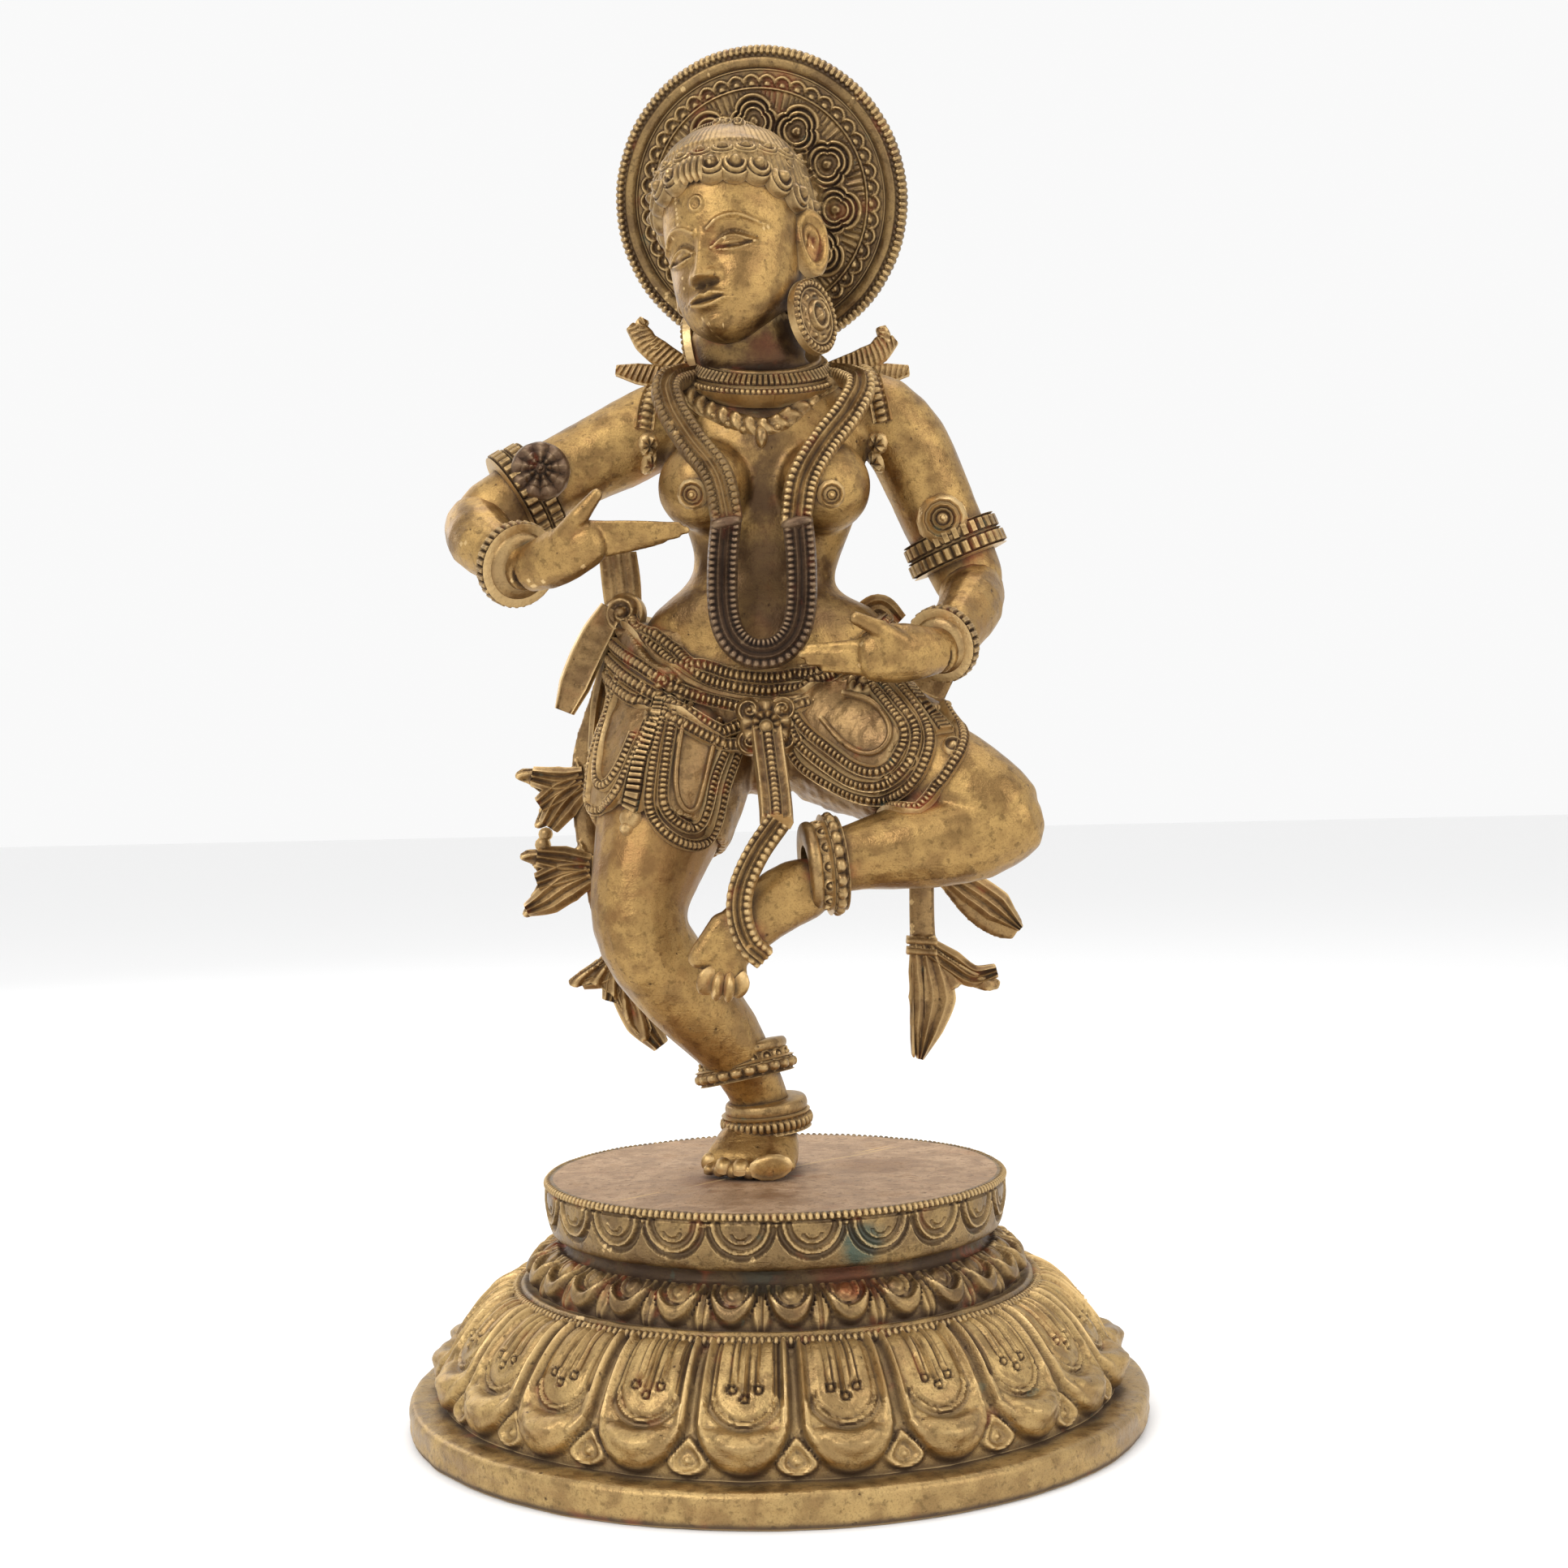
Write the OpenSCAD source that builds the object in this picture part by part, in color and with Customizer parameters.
// Cast brass dancing figure with a halo, standing on one leg on a double lotus base.
// Origin: centre of the underside of the foot plate. +Z up, the figure faces -Y.
// "right" and "left" are the figure's own, so its right side is on the -X side.

/* [Base] */
// Radius of the foot plate
plate_r = 81.3; // [78:0.1:86]
// Height of the foot plate
plate_h = 7; // [5:0.5:9]
// Wall thickness of the hollow base castings
base_wall = 4; // [3:0.5:5]
// Number of large lotus petals
large_petals = 22; // [18:2:26]
// Number of small lotus petals
small_petals = 28; // [24:2:32]
// Radius of the plinth disc that the figure stands on
plinth_r = 50.8; // [49:0.1:54]
// Height of the plinth disc's top above the ground
plinth_top = 53; // [52:0.5:54]
// Thickness of the plinth disc
plinth_h = 12; // [10:0.5:13]

/* [Figure] */
// Lean of the whole figure towards its left, away from the vertical
figure_lean = 1.2; // [0:0.1:2]

/* [Halo] */
// Radius of the halo to the outside of its beaded rim
halo_r = 34.6; // [31:0.1:36]
// Thickness of the halo plate
halo_t = 2.4; // [2:0.1:3]
// Turn of the halo about the vertical, towards the figure's right
halo_yaw = -13; // [-16:1:-8]
// Forward lean of the halo over the head
halo_tilt = 16; // [10:1:18]

/* [Head] */
// Turn of the head towards the figure's right
head_yaw = -28; // [-35:1:0]
// Lean of the head towards the figure's right
head_lean = -9; // [-12:1:0]
// Radius of an earring disc
earring_r = 8.2; // [7:0.1:9]

/* [Ornaments] */
// Thickness of a bangle's ring
bangle_tube = 1.8; // [1.4:0.1:2.2]
// Radius of the round boss on an armlet
armlet_boss_r = 6.4; // [5:0.1:7.5]
// Thickness of the cloth sleeves over the thighs
cloth_t = 1.6; // [1.2:0.1:2.2]
// Half width of the garland band
garland_w = 3.9; // [3:0.1:4.5]

/* [Fixing] */
// Diameter of the tenon below the standing foot
tenon_d = 8; // [6:0.5:10]
// Width of the clamp nut across its flats
nut_af = 13; // [11:0.5:17]

/* [Hidden] */

BRASS = "#b08a45";
DARK_BRASS = "#6b4a30";
STEEL = "#8a8a88";
X = [1, 0, 0];
Y = [0, 1, 0];
Z = [0, 0, 1];
GAP = 0.05;

// ---- places shared by several pieces ----
head_at = [-10.1, -2, 261.5];
halo_at = [-4.4, 24, 275];
lotus_top = 37.4;
neck_r = 46.5;
bead_ring_r = 58.4;
bead_ring_z = 28;

// ---- stations: [x, y, z, half width, half depth] ----
trunk = [
    [-2.5, 2, 145, 12, 9], [-2.5, 2, 149, 22, 13], [-2.6, 2, 155, 28, 15], [-2.8, 2, 161, 30, 15.6],
    [-3.2, 2, 167, 29.4, 15.4], [-3.6, 1.5, 173, 27.6, 14.4], [-3.8, 1, 178, 24, 12.8],
    [-3.8, 1, 181.5, 18.6, 11.2], [-3.6, 1, 185.5, 15.8, 10.2], [-3.1, 0.5, 191, 16.6, 10.4],
    [-2.8, 0, 197, 18.8, 11], [-2.6, 0, 204, 20.8, 11.4], [-2.8, 0, 211, 22, 11.4],
    [-2.8, 1, 217, 22.4, 10.8], [-2.8, 2, 222.5, 20, 9.4], [-3.8, 2.4, 227, 14.6, 8.6],
    [-5.2, 2, 230.5, 10.8, 8.8], [-6.6, 1, 235, 9.8, 9.2], [-8, 0, 241, 9.8, 9.4]
];
WAIST = 7;
standing_leg = [
    [-17, 1, 160, 13.5, 13.5], [-21, 0.5, 152, 15.4, 14.8], [-23.6, -2, 144, 15.8, 15],
    [-25.2, -5, 136, 15, 14.6], [-26.8, -8, 128.5, 13.8, 13.6], [-29, -11.5, 120.5, 12, 12.2],
    [-30.4, -14, 112.5, 10.7, 11.2], [-29.2, -15, 105.5, 10.2, 10.8], [-24.8, -12.4, 98.6, 9.8, 11],
    [-18.6, -8, 91, 9.2, 10.8], [-12, -3, 82.8, 8, 9.2], [-7.6, 1.4, 75.4, 6.8, 7.4],
    [-4.8, 4, 69, 6.4, 6.8], [-3.8, 6, 62.6, 6.9, 7.8]
];
SKIRT_END = 4;
KNEE = 7;
raised_thigh = [
    [4, 2, 154, 13, 13.5], [11, -4, 151, 14.6, 14.2], [20, -11, 147, 13.8, 13.6],
    [29.5, -17.5, 142.6, 12.6, 12.6], [38.4, -23, 138, 11.4, 11.4], [45.4, -26.4, 133.6, 10, 10.2]
];
LEFT_SKIRT_END = 3;
raised_shin = [
    [47.8, -27, 131, 8.8, 8.8], [42.2, -27.4, 128.6, 9.6, 9.6], [33, -27.6, 126.8, 9.6, 9.8],
    [24, -28, 125.4, 8.6, 9], [16.4, -29, 123.8, 7.2, 7.5], [9.6, -30.2, 122, 6.4, 6.8]
];
upper_arm_r = [
    [-20, 3.6, 222.6, 8.2, 8.4], [-27, 3.4, 219.6, 9.4, 9], [-34, 2.8, 215.6, 9.6, 9.2],
    [-42, 1.6, 211.4, 9.1, 8.9], [-50, 0, 207.2, 8.6, 8.4], [-58, -2, 202.2, 8.2, 8.2],
    [-64, -4.4, 198, 7.9, 7.9]
];
forearm_r = [
    [-66.4, -6.6, 195.6, 7.4, 7.4], [-65, -12, 192.2, 7.5, 7.4], [-60.6, -18, 188.6, 6.4, 6.4],
    [-56, -23.4, 185.8, 5.3, 5.2], [-53, -26.6, 184.4, 5, 4.6]
];
palm_r = [
    [-53, -26.6, 184.4, 5, 4.6], [-48.6, -30.2, 185.4, 5.8, 4.4], [-44, -33, 187.2, 6, 4.2],
    [-39.4, -34.6, 189.2, 5, 3.8]
];
upper_arm_l = [
    [15, 3.4, 224, 8.2, 8.2], [22.6, 3.6, 221.6, 9.2, 8.8], [28.4, 4.2, 215.4, 9.4, 9],
    [32.4, 5, 207.6, 9.3, 8.7], [36.2, 5.8, 199, 8.9, 8.4], [40.2, 5.6, 190.6, 8.4, 8.2],
    [42.4, 4, 185, 8, 7.9]
];
forearm_l = [
    [42.9, 2, 182, 7.6, 7.4], [42.2, -4, 178.4, 7.4, 7.2], [38.8, -11.6, 173.4, 6.4, 6.4],
    [35.8, -18.6, 169, 5.3, 5.2], [33, -23, 167.2, 5, 4.6]
];
palm_l = [
    [33, -23, 167.2, 5, 4.6], [28.6, -27, 166.8, 6, 4.4], [24, -29.6, 166.4, 6.4, 4.2],
    [19.4, -30.6, 165.6, 5.4, 3.8]
];
foot_r = [
    [-3.4, 14.4, 57.6, 4, 4], [-3.6, 11.4, 58.6, 6.2, 5.2], [-3.9, 6, 59.8, 7.6, 6.6],
    [-4.6, 0, 59.4, 9, 6.2], [-5.6, -4.4, 57.6, 10, 4.4], [-6.6, -8, 56.2, 10.4, 3]
];
foot_l = [
    [8.6, -29.6, 118.6, 5, 5], [5.6, -30.6, 117.4, 6.6, 6.2], [0.4, -32, 115, 6.8, 6],
    [-4.6, -33.6, 111.2, 6.2, 5.2], [-9.2, -34.6, 107, 5.8, 4.2], [-12.2, -35, 103.8, 5.2, 3.4]
];
face = [
    [0, -9, -24.6, 4.4, 4.6], [0, -6.6, -22.4, 8.4, 8.8], [0, -3.4, -18.4, 11.6, 12.4],
    [0, -1.2, -12.6, 13.9, 15], [0, 0, -6, 15.1, 16.4], [0, 0.6, 1, 15.6, 17.2],
    [0, 1, 7, 15.4, 17.2], [0, 1.4, 12, 14, 15.6], [0, 1.6, 15.4, 10.8, 12.2], [0, 1.6, 17.2, 6.4, 7.2]
];
HAIRLINE = 5;

// Stands the figure's pieces on the plinth with their lean.
module stand() rotate([0, figure_lean, 0]) children();

// ---- vector and curve functions ----
function unit(v) = v / norm(v);
function xyz(s) = [s[0], s[1], s[2]];
function last(v) = v[len(v) - 1];
function reversed(v) = [for (i = [len(v) - 1:-1:0]) v[i]];
function part_of(v, a, b) = [for (i = [a:b]) v[i]];

// A point on the curve through p1 and p2, t from 0 to 1 (Catmull-Rom).
function between(p0, p1, p2, p3, t) =
    0.5 * (2 * p1 + (p2 - p0) * t + (2 * p0 - 5 * p1 + 4 * p2 - p3) * t * t
    + (3 * p1 - p0 - 3 * p2 + p3) * t * t * t);

// Stations made k times as dense on a smooth curve.
function smooth(st, k) =
    let (n = len(st) - 1)
    [for (i = [0:n - 1]) for (j = [0:k - 1])
        between(st[max(i - 1, 0)], st[i], st[i + 1], st[min(i + 2, n)], j / k), st[n]];

function along(st, i) = unit(xyz(st[min(i + 1, len(st) - 1)]) - xyz(st[max(i - 1, 0)]));
function across(side, t) = unit(side - (side * t) * t);

// The ring of points of one station, n of them, thickened by off.
function ring(s, t, side, n, off = 0) =
    let (u = across(side, t), v = cross(t, u))
    [for (j = [0:n - 1]) xyz(s) + (s[3] + off) * cos(360 * j / n) * u
        + (s[4] + off) * sin(360 * j / n) * v];

function rings(st, side, n, off = 0) = [for (i = [0:len(st) - 1]) ring(st[i], along(st, i), side, n, off)];

// Rings that round off an end: from the last ring outwards, dir is 1 at the end and -1 at the start.
function dome(s, t, side, n, dir) =
    let (depth = min(s[3], s[4]) * 0.9)
    [for (a = [30, 60, 84]) ring(
        [s[0] + dir * depth * sin(a) * t[0], s[1] + dir * depth * sin(a) * t[1],
         s[2] + dir * depth * sin(a) * t[2], s[3] * cos(a), s[4] * cos(a)], t, side, n)];

function limb_rings(st, side, n, round_start, round_end) =
    let (m = len(st) - 1)
    concat(
        round_start ? reversed(dome(st[0], along(st, 0), side, n, -1)) : [],
        rings(st, side, n),
        round_end ? dome(st[m], along(st, m), side, n, 1) : []);

// ---- solids from rings ----
function centre(r) = [for (i = [0:2]) [for (p = r) p[i]] * [for (p = r) 1] / len(r)];

// A closed solid through rings, with flat ends.
module tube(rs) {
    n = len(rs[0]);
    m = len(rs);
    points = concat([for (r = rs) for (p = r) p], [centre(rs[0]), centre(last(rs))]);
    sides = [for (i = [0:m - 2]) for (j = [0:n - 1])
        let (a = i * n + j, b = i * n + (j + 1) % n)
        each [[a, a + n, b + n], [a, b + n, b]]];
    first = [for (j = [0:n - 1]) [m * n, j, (j + 1) % n]];
    final = [for (j = [0:n - 1]) [m * n + 1, (m - 1) * n + (j + 1) % n, (m - 1) * n + j]];
    polyhedron(points, concat(sides, first, final), convexity = 6);
}

// A closed loop of rings, such as a ring or a sleeve with an inner and an outer wall.
module loop(rs) {
    n = len(rs[0]);
    m = len(rs);
    polyhedron([for (r = rs) for (p = r) p],
        [for (i = [0:m - 1]) for (j = [0:n - 1])
            let (a = i * n + j, b = i * n + (j + 1) % n, c = ((i + 1) % m) * n + j,
                d = ((i + 1) % m) * n + (j + 1) % n)
            each [[a, c, d], [a, d, b]]], convexity = 6);
}

module limb(st, side, n = 16, k = 2, round_start = false, round_end = false)
    tube(limb_rings(smooth(st, k), side, n, round_start, round_end));

// A band that follows points, w wide and h high in half sizes, flat to the side vector.
module strap(points, w, h, side, k = 3)
    limb([for (p = points) [p[0], p[1], p[2], w, h]], side, 8, k);

// A cloth tail: a strap whose width grows along its points, [x, y, z, half width, half thickness].
module tail(st, side) limb(st, side, 8, 3);

// A cloth sleeve over part of a limb.
module sleeve(st, side, a, b, thick, n = 20, k = 2) {
    dense = smooth(st, k);
    loop(concat(
        part_of(rings(dense, side, n, thick), a * k, b * k),
        reversed(part_of(rings(dense, side, n, GAP), a * k, b * k))));
}

// Puts the children at p with their Z along d.
module aim(p, d) translate(p) rotate([0, acos(unit(d)[2]), atan2(d[1], d[0])]) children();

// A finger or toe: a round taper from a to b.
module digit(a, b, r1, r2) {
    aim(a, b - a) {
        cylinder(h = norm(b - a), r1 = r1, r2 = r2, $fn = 24);
        sphere(r = r1, $fn = 24);
        translate([0, 0, norm(b - a)]) sphere(r = r2, $fn = 24);
    }
}

// ---- places on the trunk ----
trunk_w = [for (s = trunk) [s[2], s[3]]];
trunk_d = [for (s = trunk) [s[2], s[4]]];
trunk_x = [for (s = trunk) [s[2], s[0]]];
trunk_y = [for (s = trunk) [s[2], s[1]]];
function on_trunk(a, z, off) = [
    lookup(z, trunk_x) + (lookup(z, trunk_w) + off) * cos(a),
    lookup(z, trunk_y) + (lookup(z, trunk_d) + off) * sin(a), z];

// A closed band round the trunk: side_z at the sides, lower by front in front and by back behind.
module trunk_band(side_z, front, back, w, h, n = 40) {
    path = [for (i = [0:n - 1]) let (a = 360 * i / n, s = sin(a))
        on_trunk(a, side_z - (s < 0 ? front : back) * s * s, h * 0.6)];
    loop([for (i = [0:n - 1])
        let (t = unit(path[(i + 1) % n] - path[(i + n - 1) % n]), out = [cos(360 * i / n), sin(360 * i / n), 0])
        ring([path[i][0], path[i][1], path[i][2], h, w], t, out, 8)]);
}

// A closed elliptical necklace, tilted forward about its centre.
module necklace(at, w, d, tilt, half_w, half_h, n = 32)
    translate(at) rotate([tilt, 0, 0])
        loop([for (i = [0:n - 1]) let (a = 360 * i / n, t = unit([-w * sin(a), d * cos(a), 0]))
            ring([w * cos(a), d * sin(a), 0, half_w, half_h], t, [cos(a), sin(a), 0.6], 8)]);

// ---- base ----
module foot_plate() color(BRASS) rotate_extrude($fn = 180)
    polygon([[plate_r - 12, 0], [plate_r - 0.6, 0], [plate_r, 0.8], [plate_r, plate_h - 1.6],
        [plate_r - 1.4, plate_h], [plate_r - 12, plate_h]]);

// A hollow lotus of n petals: profile is [radius, height, how far the petals swell there], top down.
module lotus(profile, n, wall, k) {
    count = n * k;
    outer = [for (s = profile) [for (i = [0:count - 1])
        let (a = 360 * i / count, r = s[0] + s[2] * (abs(cos(a * n / 2)) - 0.5)) [r * cos(a), r * sin(a), s[1]]]];
    inner = [for (s = profile) [for (i = [0:count - 1])
        let (a = 360 * i / count, r = s[0] - wall) [r * cos(a), r * sin(a), s[1]]]];
    loop(concat(reversed(outer), inner));
}

module lower_lotus() color(BRASS)
    lotus([[58.6, bead_ring_z - 1, 0], [65.4, 24.2, 0.6], [70, 19.6, 1.4], [72.6, 15.6, 2.4],
        [76, 12.6, 3.2], [77.4, 9.4, 3], [76.2, plate_h, 2]], large_petals, base_wall, 5);

module lotus_bead_ring() color(BRASS) rotate_extrude($fn = 160)
    polygon([[bead_ring_r - 6, bead_ring_z - 1], [bead_ring_r, bead_ring_z - 1], [bead_ring_r + 0.8, bead_ring_z],
        [bead_ring_r + 0.4, bead_ring_z + 1.2], [bead_ring_r - 1, bead_ring_z + 1.8], [bead_ring_r - 6, bead_ring_z + 1.8]]);

// The small petals, with the drum above them that the plinth disc sits on.
module upper_lotus() color(BRASS) {
    foot_z = bead_ring_z + 1.8;
    difference() {
        union() {
            lotus([[neck_r + 0.6, lotus_top + 0.4, 0], [50.4, lotus_top - 0.4, 0.8], [53.4, 34.4, 1.4],
                [56.2, 31.8, 1.8], [55.6, foot_z, 1.2]], small_petals, 6, 4);
            translate([0, 0, lotus_top - 4]) cylinder(h = plinth_top - plinth_h - lotus_top + 4, r = neck_r, $fn = 120);
        }
        translate([0, 0, lotus_top - 5]) cylinder(h = 20, d = tenon_d + 0.2, $fn = 48);
    }
}

module plinth_disc() color(BRASS) difference() {
    rotate_extrude($fn = 160)
        polygon([[0, plinth_top - plinth_h], [plinth_r - 2, plinth_top - plinth_h],
            [plinth_r, plinth_top - plinth_h + 3], [plinth_r, plinth_top - 2], [plinth_r - 1.6, plinth_top],
            [0, plinth_top]]);
    translate([0, 0, plinth_top - plinth_h - 1]) cylinder(h = plinth_h + 2, d = tenon_d + 0.1, $fn = 48);
}

module plinth_bead_rim() color(BRASS) rotate_extrude($fn = 160)
    polygon([[plinth_r, plinth_top - 2], [plinth_r + 0.5, plinth_top - 1.3], [plinth_r + 0.1, plinth_top - 0.1],
        [plinth_r - 0.9, plinth_top + 0.5], [plinth_r - 1.6, plinth_top]]);

module foot_tenon() color(BRASS)
    translate([0, 0, 22]) cylinder(h = plinth_top - 22, d = tenon_d, $fn = 48);

module clamp_washer() color(STEEL) translate([0, 0, lotus_top - 6.2]) difference() {
    cylinder(h = 2, d = 24, $fn = 60);
    translate([0, 0, -1]) cylinder(h = 4, d = tenon_d + 0.4, $fn = 48);
}

module clamp_nut() color(STEEL) translate([0, 0, lotus_top - 12.8]) difference() {
    cylinder(h = 6.5, d = nut_af / cos(30), $fn = 6);
    translate([0, 0, -1]) cylinder(h = 9, d = tenon_d + 0.06, $fn = 48);
}

// ---- halo ----
module at_halo() stand() translate(halo_at) rotate([90, 0, 0]) rotate([0, halo_yaw, 0]) rotate([halo_tilt, 0, 0])
    children();

module halo_disc() color(BRASS) at_halo() cylinder(h = halo_t, r = halo_r - 2.2, $fn = 120);

module halo_rim() color(BRASS) at_halo() rotate_extrude($fn = 120)
    polygon([[halo_r - 2.2, -0.4], [halo_r - 0.6, -0.4], [halo_r, 0.6], [halo_r, 2.2], [halo_r - 1, 3.2],
        [halo_r - 2.2, 3.2]]);

// A flat strut from the nape to the back of the halo.
module halo_bracket() color(BRASS) stand()
    strap([[-7, 8.6, 238], [-6.4, 16, 239.6], [-5.6, 24, 243.4], [-5, 31.4, 249]], 3.6, 1.6, X, 2);

module halo_pin() color(BRASS) at_halo() translate([0, -26, halo_t]) {
    translate([0, 0, -3.8]) cylinder(h = 6.2, d = 3, $fn = 32);
    cylinder(h = 1.2, d = 6, $fn = 40);
}

// ---- head ----
module at_head() stand() translate(head_at) rotate([0, head_lean, head_yaw]) children();

module head() color(BRASS) at_head() {
    limb(face, X, 24, 2, true, true);
    for (s = [-1, 1]) translate([s * 15.4, 4, -7.6]) rotate([0, 0, s * -6])
        linear_extrude(15, center = true) polygon([[-1.4, -3.4], [1.6, -3.6], [1.8, 3.6], [-1.4, 3]]);
}

// The hair, with the small headband under it, fitted over the skull.
module hair_cap() color(DARK_BRASS) at_head() {
    k = 2;
    skull = smooth(face, k);
    inner = part_of(rings(skull, X, 24, GAP), HAIRLINE * k, len(skull) - 1);
    outer = part_of(rings(skull, X, 24, 3), HAIRLINE * k, len(skull) - 1);
    crown = last(skull);
    in_top = dome([0, crown[1], crown[2], crown[3] + GAP, crown[4] + GAP], Z, X, 24, 0.94);
    out_top = dome([0, crown[1], crown[2], crown[3] + 3, crown[4] + 3], Z, X, 24, 0.9);
    tube(concat(reversed(in_top), reversed(inner), outer, out_top));
}

// The coil of hair at the back of the head, domed and flat where it meets the skull.
module hair_bun() color(DARK_BRASS) at_head() translate([0, 15.4, -8]) rotate([-90, 0, 0])
    rotate_extrude($fn = 60)
        polygon([[0, 0], [8.6, 0], [8.8, 1.6], [8, 4], [6.2, 6], [3.6, 7.4], [0, 8]]);

module crown_knob() color(BRASS) at_head() translate([2.6, -5, 23.6]) rotate([24, 0, 0]) {
    scale([1.7, 1, 1]) sphere(r = 2.4, $fn = 32);
    translate([0, 0, -2.4]) cylinder(h = 1.4, r = 3.4, $fn = 40);
}

module earring(s) color(BRASS) at_head() translate([s * 14.4, 2.6, -23.6]) rotate([0, s * 90, s * -4])
    rotate_extrude($fn = 60)
        polygon([[0, 0], [earring_r - 1, 0], [earring_r, 1], [earring_r - 0.6, 2.6], [earring_r - 2.4, 1.8],
            [3.6, 2.2], [2.6, 3.4], [0, 3.8]]);
module earring_right() earring(-1);
module earring_left() earring(1);

// ---- body ----
module torso() color(BRASS) stand() {
    k = 2;
    tube(part_of(rings(smooth(trunk, k), X, 28), WAIST * k, (len(trunk) - 1) * k));
    for (x = [-16.4, 9.6]) translate([x, -9.6, 204]) sphere(r = 10.2, $fn = 48);
}

module hips() color(BRASS) stand() {
    k = 2;
    tube(concat(reversed(dome(trunk[0], Z, X, 28, -1)), part_of(rings(smooth(trunk, k), X, 28), 0, WAIST * k)));
}

module upper_arm_right() color(BRASS) stand() limb(upper_arm_r, Z, 16, 2, true, true);
module forearm_right() color(BRASS) stand() limb(forearm_r, Z, 16, 2, true, false);
module upper_arm_left() color(BRASS) stand() limb(upper_arm_l, X, 16, 2, true, true);
module forearm_left() color(BRASS) stand() limb(forearm_l, Z, 16, 2, true, false);

module hand_right() color(BRASS) stand() {
    limb(palm_r, Z, 14, 2, false, true);
    for (f = [[2.6, 1.6, -21.2, 193], [0.7, 1.6, -19.6, 192], [-1.2, 1.6, -21.4, 191], [-2.9, 1.4, -24.4, 190]])
        digit([-40, -34.8 - f[0] * 0.1, 189.4 + f[0]], [f[2], -31, f[3]], f[1], 0.9);
    digit([-45, -35, 190], [-41.4, -37.4, 194], 2.4, 2.1);
    digit([-41.4, -37.4, 194], [-37.6, -38.4, 198.4], 2.1, 1.3);
}

module hand_left() color(BRASS) stand() {
    limb(palm_l, Z, 14, 2, false, true);
    for (f = [[2.4, 1.6, 6, 167.6], [0.6, 1.7, 4.6, 166.2], [-1.2, 1.6, 6.2, 164.6], [-2.8, 1.4, 9.4, 163.2]])
        digit([20, -30.8 - f[0] * 0.1, 165.6 + f[0]], [f[2], -28.4, f[3]], f[1], 0.9);
    digit([25.4, -31, 168.6], [20.6, -33, 171.2], 2.4, 2);
    digit([20.6, -33, 171.2], [15.8, -34, 173.4], 2, 1.4);
}

module thigh_right() color(BRASS) stand() tube(concat(
    reversed(dome(standing_leg[0], along(standing_leg, 0), X, 20, -1)),
    part_of(rings(smooth(standing_leg, 2), X, 20), 0, KNEE * 2)));
module shin_right() color(BRASS) stand()
    tube(part_of(rings(smooth(standing_leg, 2), X, 20), KNEE * 2, (len(standing_leg) - 1) * 2));
module thigh_left() color(BRASS) stand() limb(raised_thigh, Z, 20, 2, true, true);
module shin_left() color(BRASS) stand() limb(raised_shin, Z, 18, 2, true, false);

module foot_right() color(BRASS) stand() {
    limb(foot_r, X, 16, 2, true, true);
    for (t = [[-1.6, 3.1, -12], [-6.6, 2.2, -12.6], [-10.2, 2, -12], [-13.2, 1.8, -10.6], [-15.6, 1.6, -8.6]])
        digit([t[0] * 0.86 - 0.6, -6, plinth_top + t[1] + 0.6], [t[0], t[2], plinth_top + t[1] * 0.9], t[1], t[1] * 0.86);
}

module foot_left() color(BRASS) stand() {
    limb(foot_l, [0.72, 0, -0.7], 16, 2, true, true);
    digit([-12, -35.4, 109.6], [-16.6, -36, 103.2], 2.8, 2.5);
    for (t = [[-14, 98.2, 1.8], [-12, 97.2, 1.8], [-10, 97.4, 1.7], [-8.2, 99, 1.6]])
        digit([t[0] * 0.6 - 4.4, -35.4, t[1] * 0.4 + 64], [t[0], -36, t[1]], t[2] + 0.2, t[2]);
}

// ---- necklaces and garland ----
module collar() color(BRASS) stand() necklace([-4.6, 1.2, 228.6], 13.2, 11, 12, 1.6, 2);
module pendant_collar() color(BRASS) stand() necklace([-3.6, 1.4, 224.4], 17.6, 13.4, 30, 1.3, 3);

module garland_strands() color(BRASS) stand() {
    strap([[-10, 10.5, 231], [-17, 4, 230.4], [-23, -7.6, 226.8], [-22.6, -12.4, 221], [-18.6, -15.6, 214],
        [-14, -19.4, 207], [-12, -20.6, 200], [-11.2, -20, 195.4]], garland_w, 1.4, X, 2);
    strap([[2, 10.5, 231], [10.4, 4, 230.4], [16.2, -7.6, 226.8], [13.6, -12.8, 220], [8.6, -16, 213],
        [5.4, -19, 206.6], [4, -20.4, 200], [3.4, -20, 195.4]], garland_w, 1.4, X, 2);
}

module garland_loop() color(DARK_BRASS) stand()
    strap([[-11.2, -20, 195.2], [-12, -19.4, 186], [-11.8, -19, 176], [-9.6, -19.4, 170], [-3.8, -19.8, 166.8],
        [2, -19.4, 170], [4.4, -19, 176], [4.4, -19.4, 186], [3.4, -20, 195.2]], garland_w - 0.4, 1.3, [0, 1, 0.001], 3);

module shoulder_drops() color(BRASS) stand() {
    strap([[-24.6, 1, 228.4], [-27.4, -5, 224.6], [-28.6, -8.4, 218], [-28.8, -8.6, 211.6]], 2.4, 1.3, X, 2);
    strap([[18.6, 1, 228.6], [20.6, -5, 224.8], [21.4, -8.4, 218.4], [21.4, -8.6, 212]], 2.4, 1.3, X, 2);
}

// ---- arm and leg rings ----
module ring_band(r, tube_r) rotate_extrude($fn = 60) translate([r, 0]) circle(r = tube_r, $fn = 24);

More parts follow.
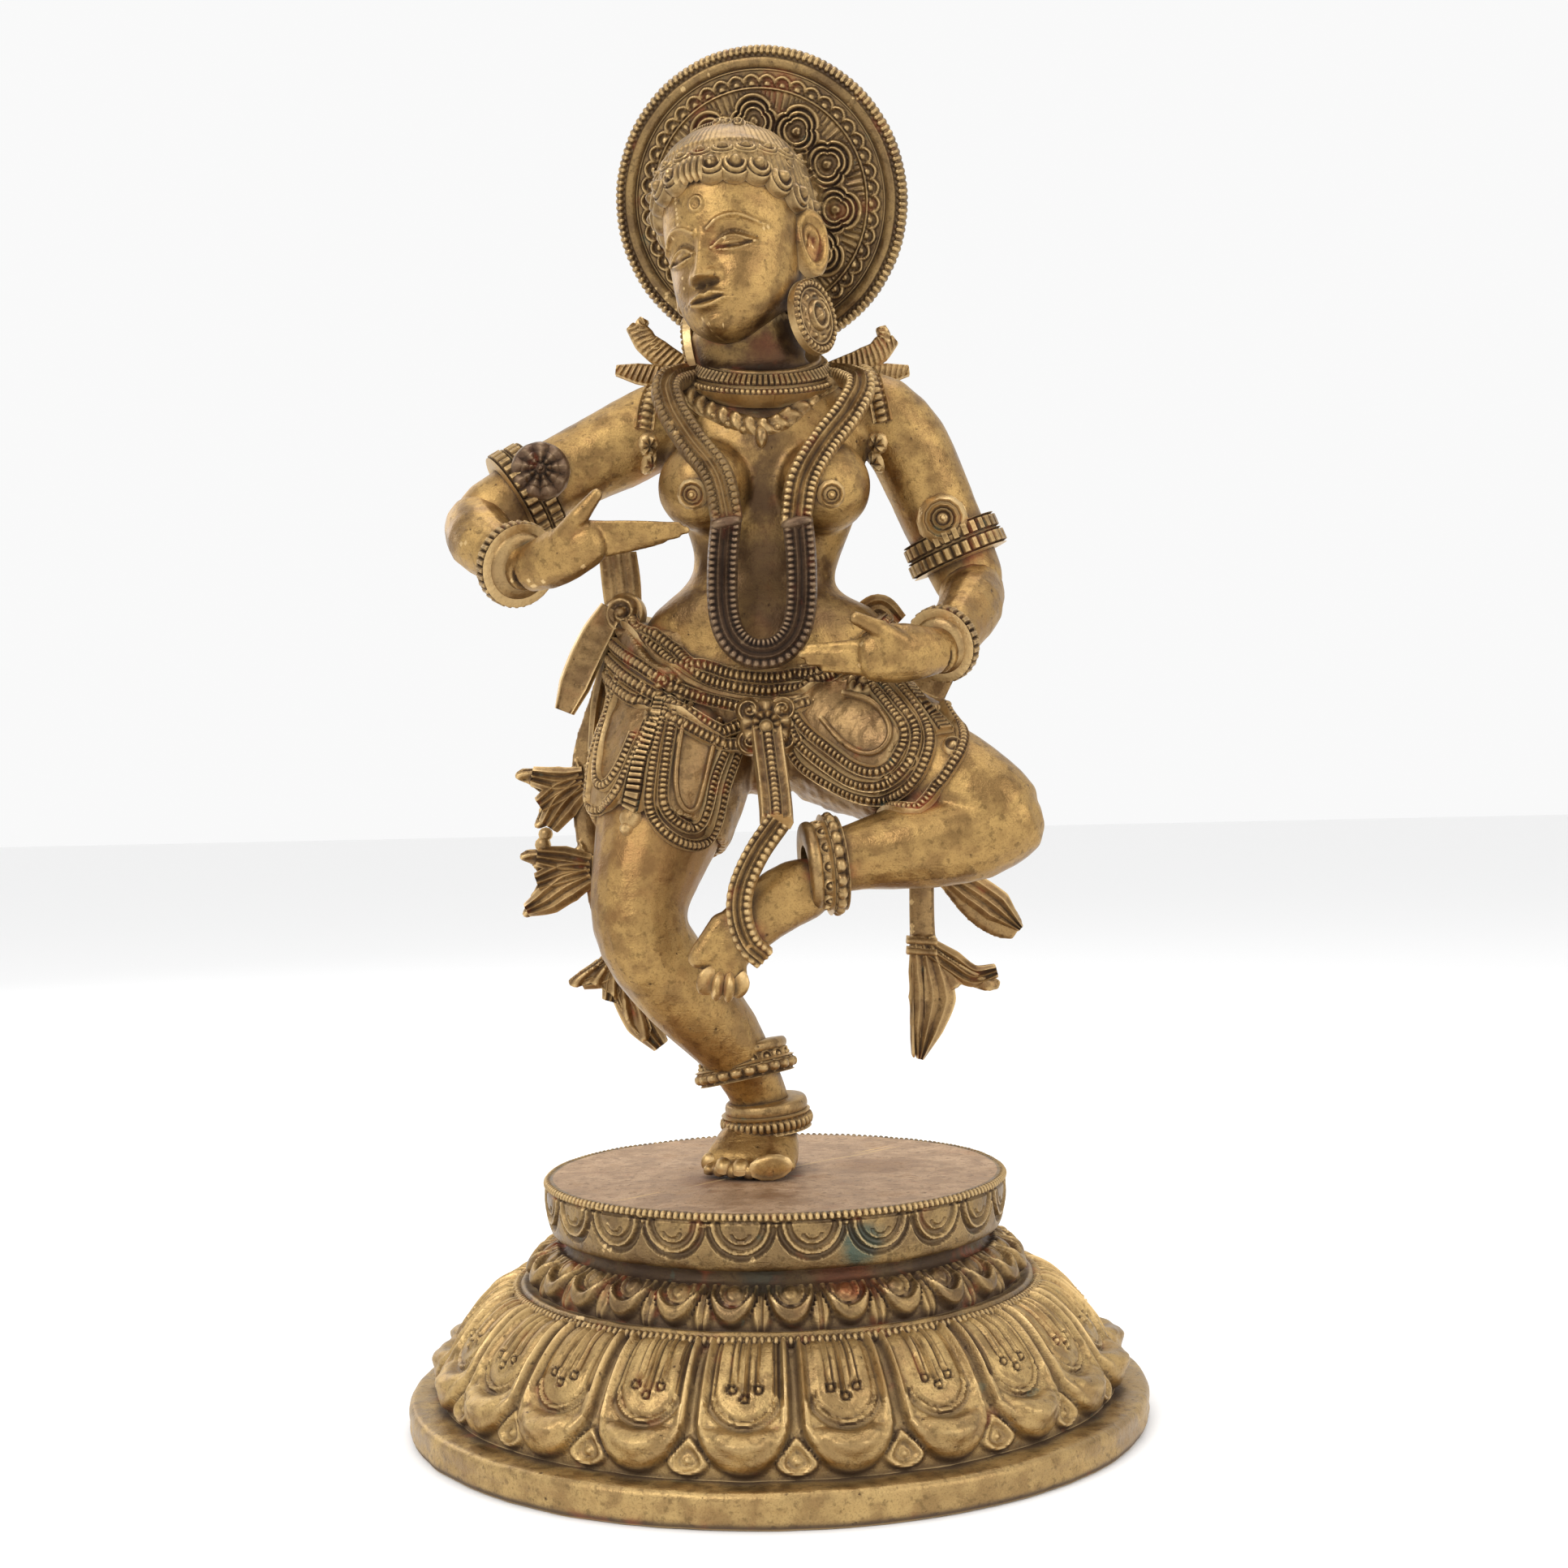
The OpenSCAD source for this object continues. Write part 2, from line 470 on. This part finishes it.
module armlet(axis_at, axis, boss_at, boss_dir, r) {
    aim(axis_at, axis) ring_band(r, 1.5);
    aim(axis_at + 3 * unit(axis), axis) ring_band(r + 0.3, 1.4);
    aim(boss_at, boss_dir) rotate_extrude($fn = 48)
        polygon([[0, -1.6], [armlet_boss_r, -1.6], [armlet_boss_r, 0.2], [armlet_boss_r - 1.6, 1], [3, 0.8],
            [2, 2.2], [0, 2.6]]);
}
module armlet_right() color(BRASS) stand()
    armlet([-54.6, -1.2, 204.4], [-8, -2, -5.2], [-52.4, -9.2, 206.8], [0.12, -1, 0.1], 8.8);
module armlet_left() color(BRASS) stand()
    armlet([38.6, 5.8, 194.4], [3.6, 0, -8.4], [36, -3.2, 197.6], [-0.04, -1, 0.02], 8.8);

module bangle_right() color(BRASS) stand() aim([-55.6, -23.8, 185.6], [10, -13, -5.4]) ring_band(7.4, bangle_tube);
module bangle_left() color(BRASS) stand() aim([34.8, -20, 169], [-9, -14, -5]) ring_band(6.6, bangle_tube - 0.4);

// A flared anklet that hangs loose, with its bead edge below.
module anklet(r, flare) rotate_extrude($fn = 60)
    polygon([[r, 2.6], [r + 1, 3], [r + flare, 0.4], [r + flare + 0.5, -1.4], [r + flare - 0.6, -2.8],
        [r, -2.6]]);
module anklet_right() color(BRASS) stand() aim([-7.6, 1.6, 77.4], [-0.22, 0.1, 1]) anklet(7.6, 2.6);
module anklet_left() color(BRASS) stand() aim([8.8, -30.4, 122], [1, 0.16, 0.12]) anklet(7.1, 2.2);

module foot_strap_right() color(BRASS) stand() aim([-2.8, 5, 63.6], [-0.06, -0.2, 1])
    rotate_extrude($fn = 48)
        polygon([[7, -2], [8.6, -2], [9.1, -0.6], [8.5, 0.4], [8.7, 1.4], [7, 2]]);
module foot_strap_left() color(BRASS) stand()
    strap([[-0.4, -37.6, 131.4], [-4.8, -38.8, 125], [-7.8, -39.6, 118], [-8.2, -40, 112], [-6.4, -39.6, 106.4],
        [-3.4, -38, 103.4]], 2.8, 1.5, X, 2);

// ---- belt, skirt and sashes ----
module girdle() color(BRASS) stand() trunk_band(177.5, 10.5, 3, 3.4, 1.5);
module belt() color(BRASS) stand() trunk_band(168.5, 10, 2, 3.2, 1.8);
module belt_clasp() color(BRASS) stand() aim([-2.9, -17.2, 156.4], [0, -1, 0.1]) {
    cylinder(h = 3, r = 6, $fn = 40);
    sphere(r = 3.6, $fn = 32);
}

module skirt_right() color(BRASS) stand() sleeve(standing_leg, X, 1, SKIRT_END, cloth_t);
module skirt_left() color(BRASS) stand() sleeve(raised_thigh, Z, 1, LEFT_SKIRT_END, cloth_t);

module front_sash() color(BRASS) stand()
    strap([[-2.8, -18.6, 152], [-2.2, -22, 146], [-1.2, -27, 140], [-0.4, -33, 134.8], [-0.2, -37, 132]],
        3.8, 1.7, X, 2);

module sash_knot_right() color(BRASS) stand() {
    tail([[-35, 3, 178, 4.4, 1.6], [-35.6, 3, 184, 4.8, 1.6], [-36.4, 3, 190, 4.2, 1.5]], X);
    aim([-34.8, 1.6, 177], [-0.2, -1, 0.1]) rotate_extrude($fn = 48)
        polygon([[0, 0], [4.6, 0], [4.8, 1.6], [3.4, 2.2], [2.4, 1.4], [1.6, 2.8], [0, 3.2]]);
}

module sash_loop_right() color(BRASS) stand()
    tail([[-37, 2, 175, 3.2, 1.6], [-41.2, 1.6, 168, 4, 1.6], [-45.4, 1.2, 160, 4.2, 1.6], [-48, 1, 154, 3.2, 1.5]], X);

// One lobe of a fish-tail ribbon end: l long, its tip w from the axis, from a neck of half width n.
function lobe(l, w, n) = [[n, 0], [n, l * 0.14], [n + (w - n) * 0.3, l * 0.42], [n + (w - n) * 0.7, l * 0.64],
    [w, l * 0.86], [w * 0.96, l], [w * 0.78, l * 1.02], [w * 0.5, l * 0.88]];

// A flat ribbon end with two curled lobes, its neck at the origin. The first lobe is on the -X side.
module fish_tail(l1, w1, l2, w2, n)
    linear_extrude(3, center = true) polygon(concat(
        [for (p = lobe(l1, w1, n)) [-p[0], p[1]]], [[(w2 - w1) * 0.2, (l1 + l2) * 0.36]], reversed(lobe(l2, w2, n))));

// Lays a fish tail in the plane of the sashes, pointing along a (0 is down, positive to the left side).
module hang(x, y, z, a) translate([x, y, z]) rotate([90, 180 - a, 0]) mirror([1, 0, 0]) children();

// The sash's straps and fish-tail ends behind the standing leg.
module sash_tails_right() color(BRASS) stand() {
    tail([[-36, 8, 172, 3.4, 1.4], [-40, 9, 158, 3.4, 1.4], [-44, 10, 146, 3.2, 1.4], [-44.6, 10, 134, 2.8, 1.4],
        [-43, 10, 122, 2.6, 1.4], [-40, 9, 110, 3, 1.4], [-36.6, 8, 99, 3.4, 1.5]], X);
    hang(-44.4, 10, 141, -64) fish_tail(14, 7.6, 15, 6.6, 2.6);
    hang(-43.6, 10, 122.6, -66) fish_tail(14, 7, 18.6, 7.4, 2.8);
    hang(-36.8, 8, 101.6, -4) fish_tail(9, 10.6, 20, 9, 3);
}

module sash_knot_left() color(BRASS) stand() {
    tail([[16, 6, 172.6, 3.4, 1.6], [19.4, 6, 176.6, 4.6, 1.6], [22.6, 6, 178.4, 4.2, 1.5], [26, 6, 175.4, 2.8, 1.4]],
        [0.5, 0, 0.86]);
    tail([[17, 6, 173, 2.2, 1.5], [24, 6, 168.6, 2.4, 1.4], [31, 6, 163.6, 3.2, 1.5], [37.6, 6, 160.4, 3.4, 1.5]],
        [0.5, 0, 0.86]);
}

module sash_tails_left() color(BRASS) stand() {
    tail([[26, 10, 166, 3.6, 1.4], [31, 10, 150, 3.2, 1.4], [32.4, 10, 134, 3, 1.4], [32.2, 10, 120, 3, 1.4],
        [32.2, 10, 109, 3, 1.4], [32.6, 10, 101.6, 3.2, 1.5]], X);
    hang(32.4, 10, 104.4, 2) fish_tail(27, 3.6, 12.6, 17.4, 3);
    tail([[35, 10, 122, 3, 1.4], [40.4, 10, 117.4, 4.4, 1.5], [46, 10, 111.6, 5, 1.5], [51, 10, 107.6, 4.2, 1.4],
        [54, 10, 105.6, 2.4, 1.2]], [0.72, 0, 0.7]);
}

module neck_ribbon(s) {
    tail([[0, 11, 231, 2, 1.6], [s * 8, 12, 234, 2.2, 1.6], [s * 17, 12, 236.6, 3, 1.6], [s * 25, 12, 240.6, 4.2, 1.5]],
        [0, 0, 1]);
    tail([[s * 2, 11, 230, 2, 1.6], [s * 10, 12, 231.4, 2.4, 1.6], [s * 18, 12, 232.4, 3, 1.6],
        [s * 26, 12, 232, 3.4, 1.5]], [0, 0, 1]);
}
module neck_ribbon_right() color(BRASS) stand() translate([-12, 0, 0]) neck_ribbon(-1);
module neck_ribbon_left() color(BRASS) stand() translate([4, 0, 0]) neck_ribbon(1);

foot_plate();
lower_lotus();
lotus_bead_ring();
upper_lotus();
plinth_disc();
plinth_bead_rim();
foot_tenon();
clamp_washer();
clamp_nut();
halo_disc();
halo_rim();
halo_bracket();
halo_pin();
head();
hair_cap();
hair_bun();
crown_knob();
earring_right();
earring_left();
torso();
hips();
upper_arm_right();
forearm_right();
hand_right();
upper_arm_left();
forearm_left();
hand_left();
thigh_right();
shin_right();
foot_right();
thigh_left();
shin_left();
foot_left();
collar();
pendant_collar();
garland_strands();
garland_loop();
shoulder_drops();
armlet_right();
armlet_left();
bangle_right();
bangle_left();
girdle();
belt();
belt_clasp();
skirt_right();
skirt_left();
front_sash();
anklet_right();
foot_strap_right();
anklet_left();
foot_strap_left();
sash_knot_right();
sash_loop_right();
sash_tails_right();
sash_knot_left();
sash_tails_left();
neck_ribbon_right();
neck_ribbon_left();
